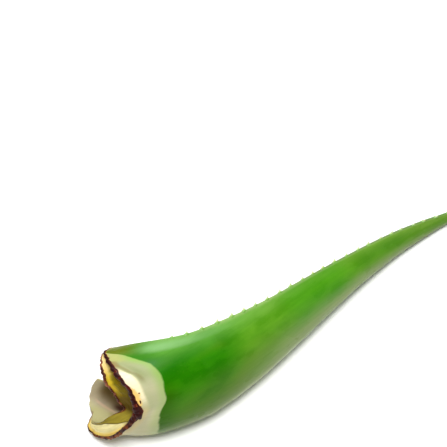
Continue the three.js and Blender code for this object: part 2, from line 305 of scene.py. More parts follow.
class Growing:
    """Vertices, faces, their material numbers and the marks at each vertex."""

    def __init__(self):
        self.points, self.faces, self.finish = [], [], []
        self.marks = {name: [] for name in MARKS}

    def add_points(self, points, **marks):
        """Adds points and returns their numbers, in the same grid."""
        points = np.asarray(points)
        first = sum(len(p) for p in self.points)
        flat = points.reshape(-1, 3)
        self.points.append(flat)
        for name in MARKS:
            value = np.broadcast_to(marks.get(name, 0.0), points.shape[:-1])
            self.marks[name].append(np.array(value, float).reshape(-1))
        return first + np.arange(len(flat)).reshape(points.shape[:-1])

    def add_faces(self, faces, finish):
        for face in faces:
            corners = list(dict.fromkeys(int(k) for k in face))
            if len(corners) > 2:
                self.faces.append(corners)
                self.finish.append(finish)

    def add_grid(self, numbers, finish, closed=False):
        """Four-sided faces between neighbouring rows of vertex numbers."""
        nxt = np.roll(numbers, -1, axis=1) if closed else numbers[:, 1:]
        now = numbers if closed else numbers[:, :-1]
        cells = np.stack([now[:-1], nxt[:-1], nxt[1:], now[1:]], -1)
        self.add_faces(cells.reshape(-1, 4), finish)

    def add_lump(self, rows, finish):
        """Closed rings, of which the first and the last shrink to a point."""
        rows = np.array(rows)
        rows[[0, -1]] = rows[[0, -1], :1]
        self.add_grid(rows, finish, closed=True)

    def build(self, name, materials):
        """The finished object, without the points that no face uses."""
        used = np.unique(np.concatenate(self.faces))
        number = np.zeros(used.max() + 1, int)
        number[used] = np.arange(len(used))
        points = in_frame(np.concatenate(self.points)[used])
        mesh = bpy.data.meshes.new(name)
        mesh.from_pydata(points.tolist(), [], [number[face].tolist() for face in self.faces])
        mesh.polygons.foreach_set("material_index", self.finish)
        for material in materials:
            mesh.materials.append(material)
        for mark, values in self.marks.items():
            made = mesh.attributes.new(mark, "FLOAT", "POINT")
            made.data.foreach_set("value", np.concatenate(values)[used])
        mesh.shade_smooth()
        mesh.set_sharp_from_angle(angle=SHARP_FROM)
        form = bmesh.new()
        form.from_mesh(mesh)
        open_edges = sum(1 for edge in form.edges if len(edge.link_faces) != 2)
        volume = form.calc_volume(signed=True) * 1e6
        form.free()
        triangles = sum(len(face) - 2 for face in self.faces)
        print(name, ":", triangles, "triangles,", round(volume, 1), "cubic cm,", open_edges, "open edges")
        return new_object(name, mesh)


# %% [markdown]
# The pale collar ends along a wandering line, which was read off the leaf as a
# distance from the cut at a few places. Each vertex keeps how far it is past that
# line, so the material can draw the border softly and break it up.

# %% The skin from the cut to the tip
SKIN, FLESH, TOOTH = 0, 1, 2
RINGS, CLOSER_AT_CUT = 330, 0.1
POINTS_ACROSS, CLOSER_AT_EDGES = 111, 0.35
collar_reach = smooth_curve(
    [-1, -0.45, -0.21, -0.06, 0.09, 0.29, 0.47, 0.57, 0.62, 0.72, 0.77, 0.81, 0.85, 1],
    [42, 34.5, 27, 24, 28.4, 31.6, 33.1, 30.2, 26.2, 17.6, 13.4, 6, -3, -14],
)
crust_reach = smooth_curve(
    [-1, -0.6, -0.45, -0.3, -0.16, -0.08, -0.02, 0.06, 0.14, 0.24, 0.34, 0.42, 0.5, 0.6, 0.7, 1],
    [-1.5, -0.4, 0.3, 0.5, 0.9, 2.6, 4.0, 3.2, 1.2, 1.0, 1.8, 1.6, 1.4, 1.2, 0.8, 0.3],
)
even = np.linspace(0, 1, RINGS + 1)
rings = even - CLOSER_AT_CUT * np.sin(2 * math.pi * even)
spread = np.linspace(-1, 1, POINTS_ACROSS)
sides = (1 - CLOSER_AT_EDGES) * spread + CLOSER_AT_EDGES * np.sin(spread * math.pi / 2)


def girth_of(points):
    """How far each point is from the keel, in millimetres round the leaf."""
    steps = np.linalg.norm(np.diff(points, axis=1), axis=-1)
    run = np.concatenate([np.zeros((len(points), 1)), np.cumsum(steps, axis=1)], axis=1)
    return run - run[:, [POINTS_ACROSS // 2]]


leaf_mesh = Growing()
back, hollow = sheet(rings[:, None], sides)
from_cut = np.broadcast_to(rings[:, None] * LENGTH, back.shape[:2])
place_marks = dict(from_cut=from_cut, side=sides, girth=girth_of(back))
for name, reach in (("collar", collar_reach), ("crease", crease_from_cut), ("crusted", crust_reach)):
    place_marks[name] = from_cut - reach(sides)
back_ids = leaf_mesh.add_points(back, hollow=0.0, through=0.0, **place_marks)
hollow_ids = leaf_mesh.add_points(hollow, hollow=1.0, through=1.0, **place_marks)
for ids in (back_ids, hollow_ids):
    ids[-1, :] = back_ids[-1, 0]
hollow_ids[:, 0] = back_ids[:, 0]
hollow_ids[:, -1] = back_ids[:, -1]
leaf_mesh.add_grid(back_ids[:, ::-1], SKIN)
leaf_mesh.add_grid(hollow_ids, SKIN)
print("the skin's grid:", RINGS, "rings of", 2 * POINTS_ACROSS - 2, "points")

# %% [markdown]
# ## The cut
# The knife went through thick wet flesh, which shrank as it dried, so the cut face
# is dished between its two rims. In the thin wing that curls underneath, only a
# crescent of firm pale flesh still stands, and behind it the face drops away. A
# texture could draw that step, but the cut is the first thing one sees here, so
# it is in the mesh: a second grid, which shares its first and last row of
# vertices with the skin.

# %% The dished flesh between the two rims
FLESH_STRIPS = 26
FLESH_RECESS, RECESS_FULLNESS, FLESH_EDGE_FADE = 3.2, 0.7, 4
WING_STEP, WING_STEP_SOFTNESS = 2.2, 0.16
WING_MIDDLE, WING_HALF = -0.36, 0.26
wing_flesh_edge = smooth_curve(
    [-1, -0.66, -0.62, -0.52, -0.44, -0.35, -0.27, -0.19, -0.12, -0.07, 0.02, 1],
    [0.0, 0.1, 0.34, 0.72, 0.84, 0.84, 0.72, 0.48, 0.3, 0.0, -0.5, -0.5],
)


def flesh_depth(through, side):
    """How deep the flesh lies behind the rims, in millimetres."""
    dish = np.sin(math.pi * through) ** RECESS_FULLNESS * (1 - side**FLESH_EDGE_FADE)
    wave = 1 + 0.25 * np.sin(7 * side + 4 * through)
    layers = 0.07 * np.sin(17 * through + 5 * side) + 0.04 * np.sin(37 * through - 9 * side)
    lumps = 0.08 * np.sin(29 * side + 11 * through) * np.sin(17 * side - 9 * through)
    past_wing = np.clip((through - wing_flesh_edge(side)) / WING_STEP_SOFTNESS, 0, 1)
    in_wing = hump(side - WING_MIDDLE, WING_HALF) * np.clip((1 - through) * 4, 0, 1)
    flatter = 1 - 0.75 * in_wing * (1 - past_wing)
    step = WING_STEP * in_wing * past_wing**2 * (3 - 2 * past_wing)
    return FLESH_RECESS * dish * (wave + layers + lumps) * flatter + step


cut_along = middle_line(0.0)[1]
through = np.linspace(0, 1, FLESH_STRIPS + 1)[:, None]
rim_back, rim_hollow = back[0], hollow[0]
cut_face = rim_back + (rim_hollow - rim_back) * through[..., None]
cut_face = cut_face + cut_along * flesh_depth(through, sides)[..., None]
inner_ids = leaf_mesh.add_points(
    cut_face, side=sides, girth=girth_of(back)[0], through=through, wing=through - wing_flesh_edge(sides)
)
flesh_ids = np.concatenate([back_ids[:1], inner_ids[1:-1], hollow_ids[:1]])
flesh_ids[:, 0], flesh_ids[:, -1] = back_ids[0, 0], back_ids[0, -1]
leaf_mesh.add_grid(flesh_ids, FLESH)
print("the cut is", FLESH_STRIPS, "strips of flesh from rim to rim")

# %% [markdown]
# ## The teeth
# Soft pale teeth stand along both edges, a finger's width apart, and lean towards
# the tip. Each is a small cone with a wide foot that runs into the skin, so its
# outline curves inwards. They could be instances on the edge, but instances are
# lost in an export, and no two teeth are the same. The seeded draws are the same
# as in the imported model, so every tooth stands where its solid stands.

# %% Seeded draws and the places of the teeth
TOOTH_SPACING, SPACING_SPREAD = 15.5, 0.15
TOOTH_HEIGHT, SIZE_SPREAD = 2.8, 0.12
TOOTH_LENGTH, TOOTH_THICKNESS = 5, 2.4
TOOTH_HOOK, HOOK_POWER = 1.8, 1.5
FIRST_TOOTH, FIRST_SIZE, GROW_OVER = 58, 0.7, 60
LAST_TOOTH_FROM_TIP, TIP_SIZE, SHRINK_OVER = 12, 0.55, 72
TOOTH_SEED = 41


def even_draws(seed):
    """Numbers from -1 to 1, the same in each run."""
    state = seed
    while True:
        state = (state * 16807) % 2147483647
        yield 2 * state / 2147483647 - 1


def tooth_places(draws):
    """How far along each tooth stands, and its size."""
    from_cut = FIRST_TOOTH
    while from_cut < LENGTH - LAST_TOOTH_FROM_TIP:
        grown = min((from_cut - FIRST_TOOTH) / GROW_OVER, 1)
        before_tip = min((LENGTH - from_cut) / SHRINK_OVER, 1)
        size = (FIRST_SIZE + (1 - FIRST_SIZE) * grown) * (TIP_SIZE + (1 - TIP_SIZE) * before_tip)
        yield from_cut / LENGTH, size * (1 + SIZE_SPREAD * next(draws))
        from_cut += TOOTH_SPACING * (1 + SPACING_SPREAD * next(draws))


# %% One tooth, from its sunken root to its point
TOOTH_ROUND = 14
NEARBY = 0.004
NO_COLLAR = 100
PROFILE_HEIGHTS = [-0.7, -0.7, -0.25, 0.0, 0.12, 0.28, 0.48, 0.68, 0.85, 0.96, 1.0]
PROFILE_SHARES = [0.0, 1.25, 1.3, 1.12, 0.9, 0.68, 0.47, 0.3, 0.17, 0.07, 0.0]


def place_on_back(share, side):
    """A place on the back of the leaf, and the direction along the leaf there."""
    place = sheet(share, side)[0]
    return place, unit(sheet(share + NEARBY, side)[0] - place)


def edge_frame(share, side):
    """The edge of the leaf at a tooth: where it is, along it, and out of it."""
    edge, along = place_on_back(share, side)
    near = sheet(share, side * 0.9)
    out = edge - (near[0] + near[1]) / 2
    out -= along * (out @ along)
    out[2] = max(0, out[2])
    return edge, along, unit(out)


def add_tooth(mesh, share, side, size):
    """Rings of points round a hooked cone, closed at both ends."""
    edge, along, out = edge_frame(share, side)
    foot = oval(along * TOOTH_LENGTH / 2, np.cross(along, out) * TOOTH_THICKNESS / 2, TOOTH_ROUND)
    rows = []
    for height, share_left in zip(PROFILE_HEIGHTS, PROFILE_SHARES):
        hook = TOOTH_HOOK * size * max(0, height) ** HOOK_POWER
        middle = edge + out * height * TOOTH_HEIGHT * size + along * hook
        rows.append(mesh.add_points(
            middle + foot * share_left * size,
            from_cut=share * LENGTH, side=side, height=max(0, height), collar=NO_COLLAR,
        ))
    mesh.add_lump(rows, TOOTH)


draws = even_draws(TOOTH_SEED)
tooth_count = 0
for side in (1, -1):
    for share, size in tooth_places(draws):
        add_tooth(leaf_mesh, share, side, size)
        tooth_count += 1
print(tooth_count, "teeth along the two edges")

# %% [markdown]
# ## The dried rims
# The plant's yellow juice wells up under the skin where it is cut, and dries to a
# dark red crust, thickest at the bend of the leaf, where it collected. The crust
# is a flat bead along each rim, moved inwards or outwards by place, because the
# juice ran. A curve with a round bevel would look like a cord, so the breadth and
# height follow waves that share no common beat. Where the juice ran over the rim
# it dried as drops on the skin, which are small flattened lumps.

# %% Ragged beads along the two rims
RIM_STEPS, RIM_ROUND, RIM_END = 760, 14, 0.995
BREADTH_SPREAD, HEIGHT_SPREAD = 0.26, 0.34
CRUST_STATIONS = [-1, -0.76, -0.7, -0.6, -0.45, -0.3, -0.16, -0.02, 0.1, 0.22, 0.32, 0.42, 0.5, 0.62, 0.8, 1]
CRUST = 0


def ragged(side, pace, start):
    """Uneven waves between -1 and 1 along a rim."""
    slow = np.sin(pace * side + start) * np.sin(pace * 0.37 * side + 2 * start)
    quick = np.sin(pace * 2.3 * side + 3 * start) * np.sin(pace * 1.7 * side + start)
    fine = np.sin(pace * 5.1 * side + 5 * start)
    return 0.5 * slow + 0.32 * quick + 0.18 * fine


def add_bead(mesh, through, broad, high, inset):
    """A crust that follows the outer rim (through 0) or the hollow rim (through 1)."""
    places = np.linspace(-RIM_END, RIM_END, RIM_STEPS)
    outer, inner = sheet(0.0, places)
    middle = outer + (inner - outer) * through
    gap = np.linalg.norm(inner - outer, axis=-1, keepdims=True)
    across = (inner - outer) / np.maximum(gap, 1e-6) * (1 if through == 0 else -1)
    along = unit(np.gradient(middle, axis=0))
    across = unit(across - along * (across * along).sum(-1, keepdims=True))
    outwards = np.cross(across, along)
    outwards *= -np.sign(outwards @ cut_along)[:, None]
    at = places[:, None]
    half_broad, half_high, moved = (smooth_curve(CRUST_STATIONS, v)(at) for v in (broad, high, inset))
    half_broad *= 1 + BREADTH_SPREAD * ragged(at, 41, 0.7 + through)
    half_high *= 1 + HEIGHT_SPREAD * ragged(at, 53, 2.1 + through)
    middle = middle + across * moved * half_broad
    angle = once_round(RIM_ROUND)
    lump = 1 + 0.1 * np.sin(3 * angle + 31 * at) * np.sin(67 * at + 2 * angle)
    points = middle[:, None] + across[:, None] * (np.cos(angle) * half_broad * lump)[..., None]
    points = points + outwards[:, None] * (np.sin(angle) * half_high * lump)[..., None]
    grid = mesh.add_points(points, side=at, through=through, outward=(1 - np.cos(angle)) / 2)
    if through:
        grid = grid[:, ::-1]
    mesh.add_grid(grid, CRUST, closed=True)
    mesh.add_faces([grid[0], grid[-1, ::-1]], CRUST)


# %% Drops that dried on the skin
DROP_ROUND, DROP_ROWS = 18, 10


def add_drop(mesh, from_cut, side, long, broad, high):
    """A flattened lump of dried juice on the back of the leaf."""
    share = from_cut / LENGTH
    place, along = place_on_back(share, side)
    around = sheet(share, side + 0.01)[0] - place
    around = unit(around - along * (around @ along))
    outwards = np.cross(around, along)
    turn = once_round(DROP_ROUND)
    rows = []
    for tip in np.linspace(0, math.pi, DROP_ROWS):
        lump = 1 + 0.12 * np.sin(3 * turn + 5 * side) + 0.07 * np.sin(7 * turn + 9 * tip)
        flat = np.sin(tip) * lump[:, None] * oval(along * long, around * broad, DROP_ROUND)
        rows.append(mesh.add_points(place + flat + outwards * math.cos(tip) * high, side=side, outward=0.15))
    mesh.add_lump(rows, CRUST)


# %% [markdown]
# ## Wiring materials
# Materials are drawn by nodes from the marks that every vertex carries, such as
# its distance from the cut, and from noise. So the paint follows the leaf's
# anatomy from all sides. Colours are written as they look on a screen, from 0 to
# 255. A surface is painted as a painter would: one ground colour, and named coats
# over it, each with masks that say where it lies.


# %% Nodes, and arithmetic on masks
def tint(red, green, blue):
    """A colour as seen on a screen, 0 to 255, as a light value."""
    parts = [c / 255 for c in (red, green, blue)]
    return [c / 12.92 if c <= 0.04045 else ((c + 0.055) / 1.055) ** 2.4 for c in parts] + [1.0]


class Wiring:
    """The nodes of one material or group while they are placed."""

    def __init__(self, tree):
        self.tree = tree

    def feed(self, socket, value):
        """A link from another socket, or a value on this one."""
        if isinstance(value, bpy.types.NodeSocket):
            self.tree.links.new(value, socket)
        else:
            socket.default_value = value

    def fill(self, node, sockets):
        """Feeds the named sockets of a node and returns the node."""
        for name, value in sockets.items():
            self.feed(node.inputs[name], value)
        return node

    def node(self, kind, *values, **settings):
        made = self.tree.nodes.new("ShaderNode" + kind)
        for name, value in settings.items():
            setattr(made, name, value)
        for socket, value in zip(made.inputs, values):
            self.feed(socket, value)
        return made

    def mark(self, name):
        return self.node("Attribute", attribute_name=name).outputs["Fac"]

    def place_in_mm(self):
        """The place on the object, in millimetres."""
        place = self.node("TexCoord").outputs["Object"]
        return self.fill(self.node("VectorMath", place, operation="SCALE"), {"Scale": 1 / MM}).outputs[0]

    def calc(self, operation, *values):
        return self.node("Math", *values, operation=operation).outputs[0]

    def scaled(self, value, factor, start):
        """The value times the factor, plus the start."""
        return self.calc("MULTIPLY_ADD", value, factor, start)

    def times(self, *values):
        """The product of masks and numbers."""
        product = values[0]
        for value in values[1:]:
            product = self.calc("MULTIPLY", product, value)
        return product

    def ease(self, value, low, high):
        """0 below low, 1 above high, soft between; low may lie above high."""
        made = self.node("MapRange", value, min(low, high), max(low, high), interpolation_type="SMOOTHSTEP")
        return made.outputs[0] if low <= high else self.calc("SUBTRACT", 1.0, made.outputs[0])

    def near_zero(self, value, far, near):
        """1 within near of zero, 0 beyond far, on both sides."""
        return self.ease(self.calc("ABSOLUTE", value), far, near)

    def span(self, value, *limits):
        """A mask from pairs of limits: each pair eases it in or out."""
        return self.times(*(self.ease(value, low, high) for low, high in zip(limits[::2], limits[1::2])))


# %% Colours and patterns
class Painting(Wiring):
    """Wiring that also lays colours and patterns."""

    def blend(self, share, below, above):
        made = self.node("Mix", data_type="RGBA")
        for place, value in ((0, share), (6, below), (7, above)):
            self.feed(made.inputs[place], tint(*value) if isinstance(value, tuple) else value)
        return made.outputs[2]

    def paint(self, ground, coats):
        """Lays named coats, each its masks and its colour, over the ground, the last on top."""
        for *masks, colour in coats.values():
            ground = self.blend(self.times(*masks), ground, colour)
        print("coats:", ", ".join(coats))
        return ground

    def noise(self, place, size, detail=3.0, roughness=0.5):
        """Noise whose features are about this many millimetres across."""
        scale = 1 / size if isinstance(size, (int, float)) else self.calc("DIVIDE", 1.0, size)
        sockets = {"Vector": place, "Scale": scale, "Detail": detail, "Roughness": roughness}
        return self.fill(self.node("TexNoise"), sockets).outputs[0]

    def wander(self, noise, reach, start):
        """The start, moved by the noise by up to half the reach either way."""
        return self.scaled(self.calc("SUBTRACT", noise, 0.5), reach, start)

    def band(self, value, stops):
        """Colours one after another along a value from 0 to 1."""
        made = self.node("ValToRGB", value)
        ramp = made.color_ramp
        ramp.interpolation = "EASE"
        while len(ramp.elements) < len(stops):
            ramp.elements.new(0.5)
        for element, (place, colour) in zip(ramp.elements, stops):
            element.position, element.color = place, tint(*colour)
        return made.outputs[0]

    def bump(self, strength, depth, height):
        sockets = {"Strength": strength, "Distance": depth, "Height": height}
        return self.fill(self.node("Bump"), sockets).outputs[0]

    def group(self, tree, *values):
        return self.node("Group", *values, node_tree=tree).outputs


# %% New groups and materials
def new_group(name, inputs, outputs):
    """A node group with named number inputs and outputs."""
    tree = bpy.data.node_groups.new(name, "ShaderNodeTree")
    for label, preset in inputs.items():
        tree.interface.new_socket(label, in_out="INPUT", socket_type="NodeSocketFloat").default_value = preset
    for label in outputs:
        tree.interface.new_socket(label, in_out="OUTPUT", socket_type="NodeSocketFloat")
    return Painting(tree), tree.nodes.new("NodeGroupInput").outputs, tree.nodes.new("NodeGroupOutput").inputs


def new_material(name):
    """A material with one Principled shader, and its wiring."""
    material = bpy.data.materials.new(name)
    material.use_nodes = True
    return material, Painting(material.node_tree), material.node_tree.nodes["Principled BSDF"]


# %% [markdown]
# ## Two effects that several finishes share
# Plant tissue is drawn out along the leaf: its mottling, faint veins and pores all
# follow the length. One node group turns a place on the leaf into those three
# patterns. The other says where tissue has dried, unevenly, inwards from a cut
# edge. Both put out plain masks, and each material chooses its colours for them.

# %% Growth patterns that follow the leaf
grow, grow_in, grow_out = new_group(
    "leaf_growth",
    {"Along": 0, "Around": 0, "Layer": 0, "Patch size": 16, "Vein spacing": 2.4, "Pore spacing": 1.5},
    ("Mottle", "Veins", "Pores"),
)
GROWTH = grow.tree


def drawn_out(share):
    """The place on the leaf. A small share of its length draws the pattern out."""
    shortened = grow.times(grow_in["Along"], share)
    return grow.node("CombineXYZ", shortened, grow_in["Around"], grow_in["Layer"]).outputs[0]


mottling = grow.noise(drawn_out(0.45), grow_in["Patch size"])
veining = grow.noise(drawn_out(0.045), grow_in["Vein spacing"], detail=2.0, roughness=0.6)
pore_scale = grow.calc("DIVIDE", 1.0, grow_in["Pore spacing"])
pore_cells = grow.fill(grow.node("TexVoronoi"), {"Vector": drawn_out(0.75), "Scale": pore_scale})
grow.feed(grow_out["Mottle"], grow.ease(mottling, 0.32, 0.68))
grow.feed(grow_out["Veins"], grow.ease(veining, 0.35, 0.65))
grow.feed(grow_out["Pores"], grow.ease(pore_cells.outputs["Distance"], 0.28, 0.1))

# %% Drying that creeps in from a cut edge
dry, dry_in, dry_out = new_group(
    "drying_edge", {"Distance": 0, "Reach": 3, "Unevenness": 0.5, "Size": 4}, ("Dried",)
)
DRYING = dry.tree
swing = dry.wander(dry.noise(dry.place_in_mm(), dry_in["Size"], detail=4.0), 4.0, 0.0)
reach = dry.times(dry_in["Reach"], dry.scaled(swing, dry_in["Unevenness"], 1.0))
past_reach = dry.calc("SUBTRACT", dry.calc("DIVIDE", dry_in["Distance"], reach), 1.0)
dry.feed(dry_out["Dried"], dry.ease(past_reach, 0.35, -0.35))
print("groups:", GROWTH.name, "and", DRYING.name)

# %% [markdown]
# ## The living skin
# A thick waxy skin over clear flesh. It is deep green along the middle of its
# back and paler towards the margins, with soft yellowish patches. Painted sheen
# lightens the upper side where it faces the light, a painted reflection of the
# white table greys the keel side and draws a pale line along the underside, and
# painted shade darkens the green beside the collar. Under the upper margin lies a
# pale bloom of wax, painted paler still by the sheen it shows, and the green just
# below it is the deepest. `along` is a mask that eases between distances from the
# cut, in millimetres, and `across` between places across the leaf.

# %% The marks and patterns of the skin
skin_material, skin, skin_shader = new_material("leaf_skin_finish")
from_cut_mark, side_mark, girth_mark = map(skin.mark, ("from_cut", "side", "girth"))
hollow_mark, collar_mark, crease_mark = map(skin.mark, ("hollow", "collar", "crease"))
ease, blend, scaled = skin.ease, skin.blend, skin.scaled
along, across = partial(skin.span, from_cut_mark), partial(skin.span, side_mark)
mottle, veins, pores = skin.group(GROWTH, from_cut_mark, girth_mark, skin.times(hollow_mark, 60.0), 17, 2.6, 1.5)
skin_place = skin.node("CombineXYZ", skin.times(from_cut_mark, 0.4), girth_mark, hollow_mark).outputs[0]
broad_patches = skin.noise(skin_place, 34, detail=2.0)
uneven_cut = scaled(broad_patches, 30, from_cut_mark)

# %% The green of the back
far_along = along(90, 230)
# Places on the keel side and the low flank for the painted reflection of the white table, lower farther along.
keel_reflection_place = scaled(far_along, -0.18, side_mark)
flank_reflection_place = scaled(far_along, -0.34, side_mark)
near_cut_green = blend(mottle, (28, 106, 0), (46, 126, 1))
farther_green = blend(mottle, (68, 130, 8), (90, 148, 28))
green = skin.paint(blend(ease(uneven_cut, 105, 150), near_cut_green, farther_green), {
    "yellowish patches": (ease(broad_patches, 0.52, 0.7), 0.4, (78, 118, 8)),
    # Painted sheen: the upper side is lighter where it faces the light, over its paler tissue.
    "paler upper side with painted sheen": (
        across(0.42, 0.92), along(0, 48), scaled(mottle, 0.3, 0.6), blend(far_along, (102, 158, 64), (104, 146, 52))
    ),
    # Painted reflection: the keel side is greyed as if it mirrored the white table.
    "painted table reflection on the keel side": (
        ease(keel_reflection_place, 0.3, -0.5), scaled(mottle, 0.25, 0.65),
        blend(along(60, 170), (90, 106, 38), (114, 138, 72)),
    ),
    # Painted reflection of the white table, grey on the low flank.
    "painted table reflection on the flank": (ease(flank_reflection_place, -0.12, -0.6), 0.6, (144, 158, 104)),
    "duller far part": (along(255, 420), 0.5, (98, 126, 48)),
    "deep middle stretch": (along(165, 200, 285, 245), across(-0.3, 0), 0.4, (30, 130, 0)),
    "deep far stretch": (along(265, 300, 375, 335), across(0.1, 0.42, 0.95, 0.7), 0.35, (44, 104, 14)),
})

# %% The margins, the painted reflection along the underside, and the grain
to_edge = skin.calc("ABSOLUTE", side_mark)
green = skin.paint(green, {
    "pale margin": (ease(to_edge, 0.86, 0.99), scaled(along(60, 120), 0.4, 0.2), (154, 176, 112)),
    "dark line inside the margin": (ease(to_edge, 0.9, 0.965), along(150, 260), 0.7, (96, 118, 70)),
    # Painted reflection: a pale line along the underside, where the skin mirrors the white table.
    "painted pale reflection underneath": (across(-0.4, -0.56), along(220, 160), 0.5, (190, 200, 156)),
    "veins": (veins, 0.1, (30, 92, 2)),
    "pores": (pores, 0.1, (120, 168, 60)),
})

# %% The pale waxy bloom under the upper margin, with painted sheen
bloom_and_sheen_place = skin.times(across(0.72, 0.8), along(18, 42, 140, 36), scaled(across(0.84, 0.97), -0.8, 1.0))
bloom_and_sheen_share = skin.times(bloom_and_sheen_place, scaled(mottle, 0.3, 0.5))
green = skin.paint(green, {
    "deep green below the bloom": (across(0.4, 0.56, 0.72, 0.6), along(22, 32, 90, 55), 0.35, (20, 100, 0)),
    # The bloom is painted paler than its wax alone: it carries a painted sheen of the bright room behind the leaf.
    "wax bloom with painted sheen": (bloom_and_sheen_share, (126, 172, 108)),
    "olive corner at the cut": (along(34, 8), across(0.7, 0.84), (98, 112, 26)),
    # Painted shade: the green is darker on the low side next to the collar.
    "painted shade beside the collar": (ease(collar_mark, 22, 1), across(0.4, 0, -0.5, -0.1), 0.8, (44, 90, 0)),
})

# %% [markdown]
# Where the leaf clasped the plant it never saw light. That collar is cream at the
# rim and greyish further in, with a soft crease behind the rim whose shade is
# painted as a darker line, and it ends in a soft yellow-green line. Next to the
# crust the skin is stained by the juice.

# %% The pale collar
collar_edge = skin.wander(mottle, 2, collar_mark)
in_collar = ease(collar_edge, 1.4, -1)
crease_place = scaled(across(0.46, 0.52, 0.68, 0.6), 2.4, crease_mark)
crease_shade_mask = skin.near_zero(crease_place, 4.2, 0.4)
pale = skin.paint(blend(ease(broad_patches, 0.4, 0.6), (168, 170, 130), (188, 184, 150)), {
    "greener upper half": (across(0.25, 0.5), (148, 157, 110)),
    "warmer lower half": (across(0.05, -0.2), (184, 180, 142)),
    "cream before the crease": (
        ease(crease_place, -2, -6), across(0.02, 0.24),
        blend(across(0.5, 0.58), (246, 234, 194), (164, 150, 106)),
    ),
    "yellowish low rim": (across(0.14, 0), along(14, 6), 0.8, (200, 182, 128)),
    # Painted shade in the crease: a darker line along it.
    "crease": (crease_shade_mask, across(0.3, 0.44, 0.78, 0.66), 0.8, (130, 126, 78)),
    "green border": (ease(collar_edge, -11, -0.3), scaled(across(0, 0.5), 0.5, 0.4), (134, 172, 78)),
    "green tinge high up": (ease(collar_edge, -15, -3), across(0.56, 0.7), 0.7, (140, 178, 84)),
    "pale upper corner": (across(0.63, 0.69), along(18, 8), 0.9, (168, 172, 98)),
    "brown stripe below that corner": (across(0.56, 0.6, 0.69, 0.65), along(8, 2), 0.7, (142, 112, 58)),
    "mottle": (mottle, 0.15, (190, 178, 130)),
    "veins": (veins, 0.12, (150, 160, 104)),
})

# %% The tissue that dried beside the crust
stain_reach = scaled(across(0.02, 0.14, 0.4, 0.22), 4.4, 1.3)
stained = skin.group(DRYING, from_cut_mark, stain_reach, 0.5, 5)[0]
off_wing_edge = scaled(across(-0.66, -0.74), -0.9, 0.9)
crust_edge = skin.wander(skin.noise(skin.place_in_mm(), 3.5), 3, skin.mark("crusted"))
surface = skin.paint(blend(in_collar, green, pale), {
    "juice stain": (stained, off_wing_edge, (232, 188, 98)),
    "thin crust": (ease(crust_edge, 0.9, 0.3), (110, 46, 24)),
    "thick crust": (ease(crust_edge, 0.4, -0.2), (52, 10, 6)),
})

# %% [markdown]
# The hollow face is a plainer green. In the clasping base it is covered by a thin
# greyish membrane, which is seen through the cut. It is dark where the base curls
# over it, and a reddish line marks the fold.

# %% The membrane inside the clasping base
past_fold = skin.calc("ADD", scaled(from_cut_mark, -0.0066, 0.87), side_mark)
on_fold = skin.near_zero(past_fold, 0.022, 0.006)
at_clot = skin.near_zero(skin.calc("ADD", side_mark, 0.83), 0.06, 0.01)
membrane = skin.paint(blend(mottle, (150, 136, 108), (172, 160, 130)), {
    "veins": (veins, 0.25, (150, 138, 108)),
    "shade past the fold": (ease(past_fold, 0.03, -0.14), along(1.5, 8, 44, 20), (94, 74, 38)),
    "green before the fold": (
        ease(past_fold, -0.02, 0.09), across(0.3, -0.2), ease(uneven_cut, 62, 40),
        blend(along(8, 14), (162, 156, 110), (132, 114, 44)),
    ),
    "fold": (on_fold, along(2, 5, 17, 13), 0.5, (188, 156, 126)),
    "clotted corner": (at_clot, ease(uneven_cut, 24, 31), along(26, 18), (62, 26, 14)),
})
past_membrane = skin.calc("SUBTRACT", from_cut_mark, scaled(broad_patches, 40, 40))
hollow_green = blend(mottle, (62, 124, 16), (92, 144, 40))
inner_face = blend(ease(past_membrane, 12, -12), hollow_green, membrane)
surface = skin.paint(surface, {
    "hollow face": (ease(hollow_mark, 0.4, 0.6), inner_face),
    "dry tip": (ease(scaled(mottle, 4, from_cut_mark), 468, 478), 0.8, (128, 100, 58)),
})

# %% [markdown]
# The skin itself has only a low gloss, and a thin coat of wax lies over the bloom
# and the collar. A little light is let into the flesh. The relief of veins and
# pores is far finer than the mesh, so the shader gives it.

# %% Gloss and fine relief of the skin
gloss = scaled(mottle, 0.1, scaled(bloom_and_sheen_share, 0.15, 0.24))
skin.fill(skin_shader, {
    "Base Color": surface,
    "Roughness": scaled(in_collar, 0.12, gloss),
    "Coat Weight": scaled(bloom_and_sheen_share, 0.2, skin.times(in_collar, 0.14)),
    "Normal": skin.bump(0.35, 0.0003, scaled(veins, 0.25, skin.times(pores, 0.16))),
    "IOR": 1.4,
    "Specular IOR Level": 0.1,
    "Coat Roughness": 0.4,
    "Subsurface Weight": 0.06,
    "Subsurface Radius": (0.3, 0.5, 0.1),
    "Subsurface Scale": 0.004,
})
print("the skin has", len(skin.tree.nodes), "nodes")

# %% [markdown]
# ## The cut flesh
# Fresh aloe flesh is a clear gel. Here it has begun to dry and is stained by the
# yellow juice: yellow beside the inner rim, pale at the upper corner, olive in
# the middle and brown at the bend. The crescent of firm flesh in the thin wing has
# stayed cream. The layers of the flesh run along the cut, from corner to corner.

# %% The stained flesh
flesh_material, flesh, flesh_shader = new_material("leaf_flesh_finish")
flesh_side, flesh_through, past_wing = map(flesh.mark, ("side", "through", "wing"))
FLESH_MM = 13.0
flesh_place = flesh.mark("girth"), flesh.times(flesh_through, FLESH_MM), 0.0
flesh_mottle, flesh_layers = flesh.group(GROWTH, *flesh_place, 9, 1.6, 1.1)[:2]
over = partial(flesh.span, flesh_side)
corner = flesh.blend(flesh.ease(flesh_through, 0.4, 0.82), (178, 144, 66), (242, 216, 150))
olive = flesh.blend(over(-0.34, -0.6), (146, 132, 46), (196, 186, 128))
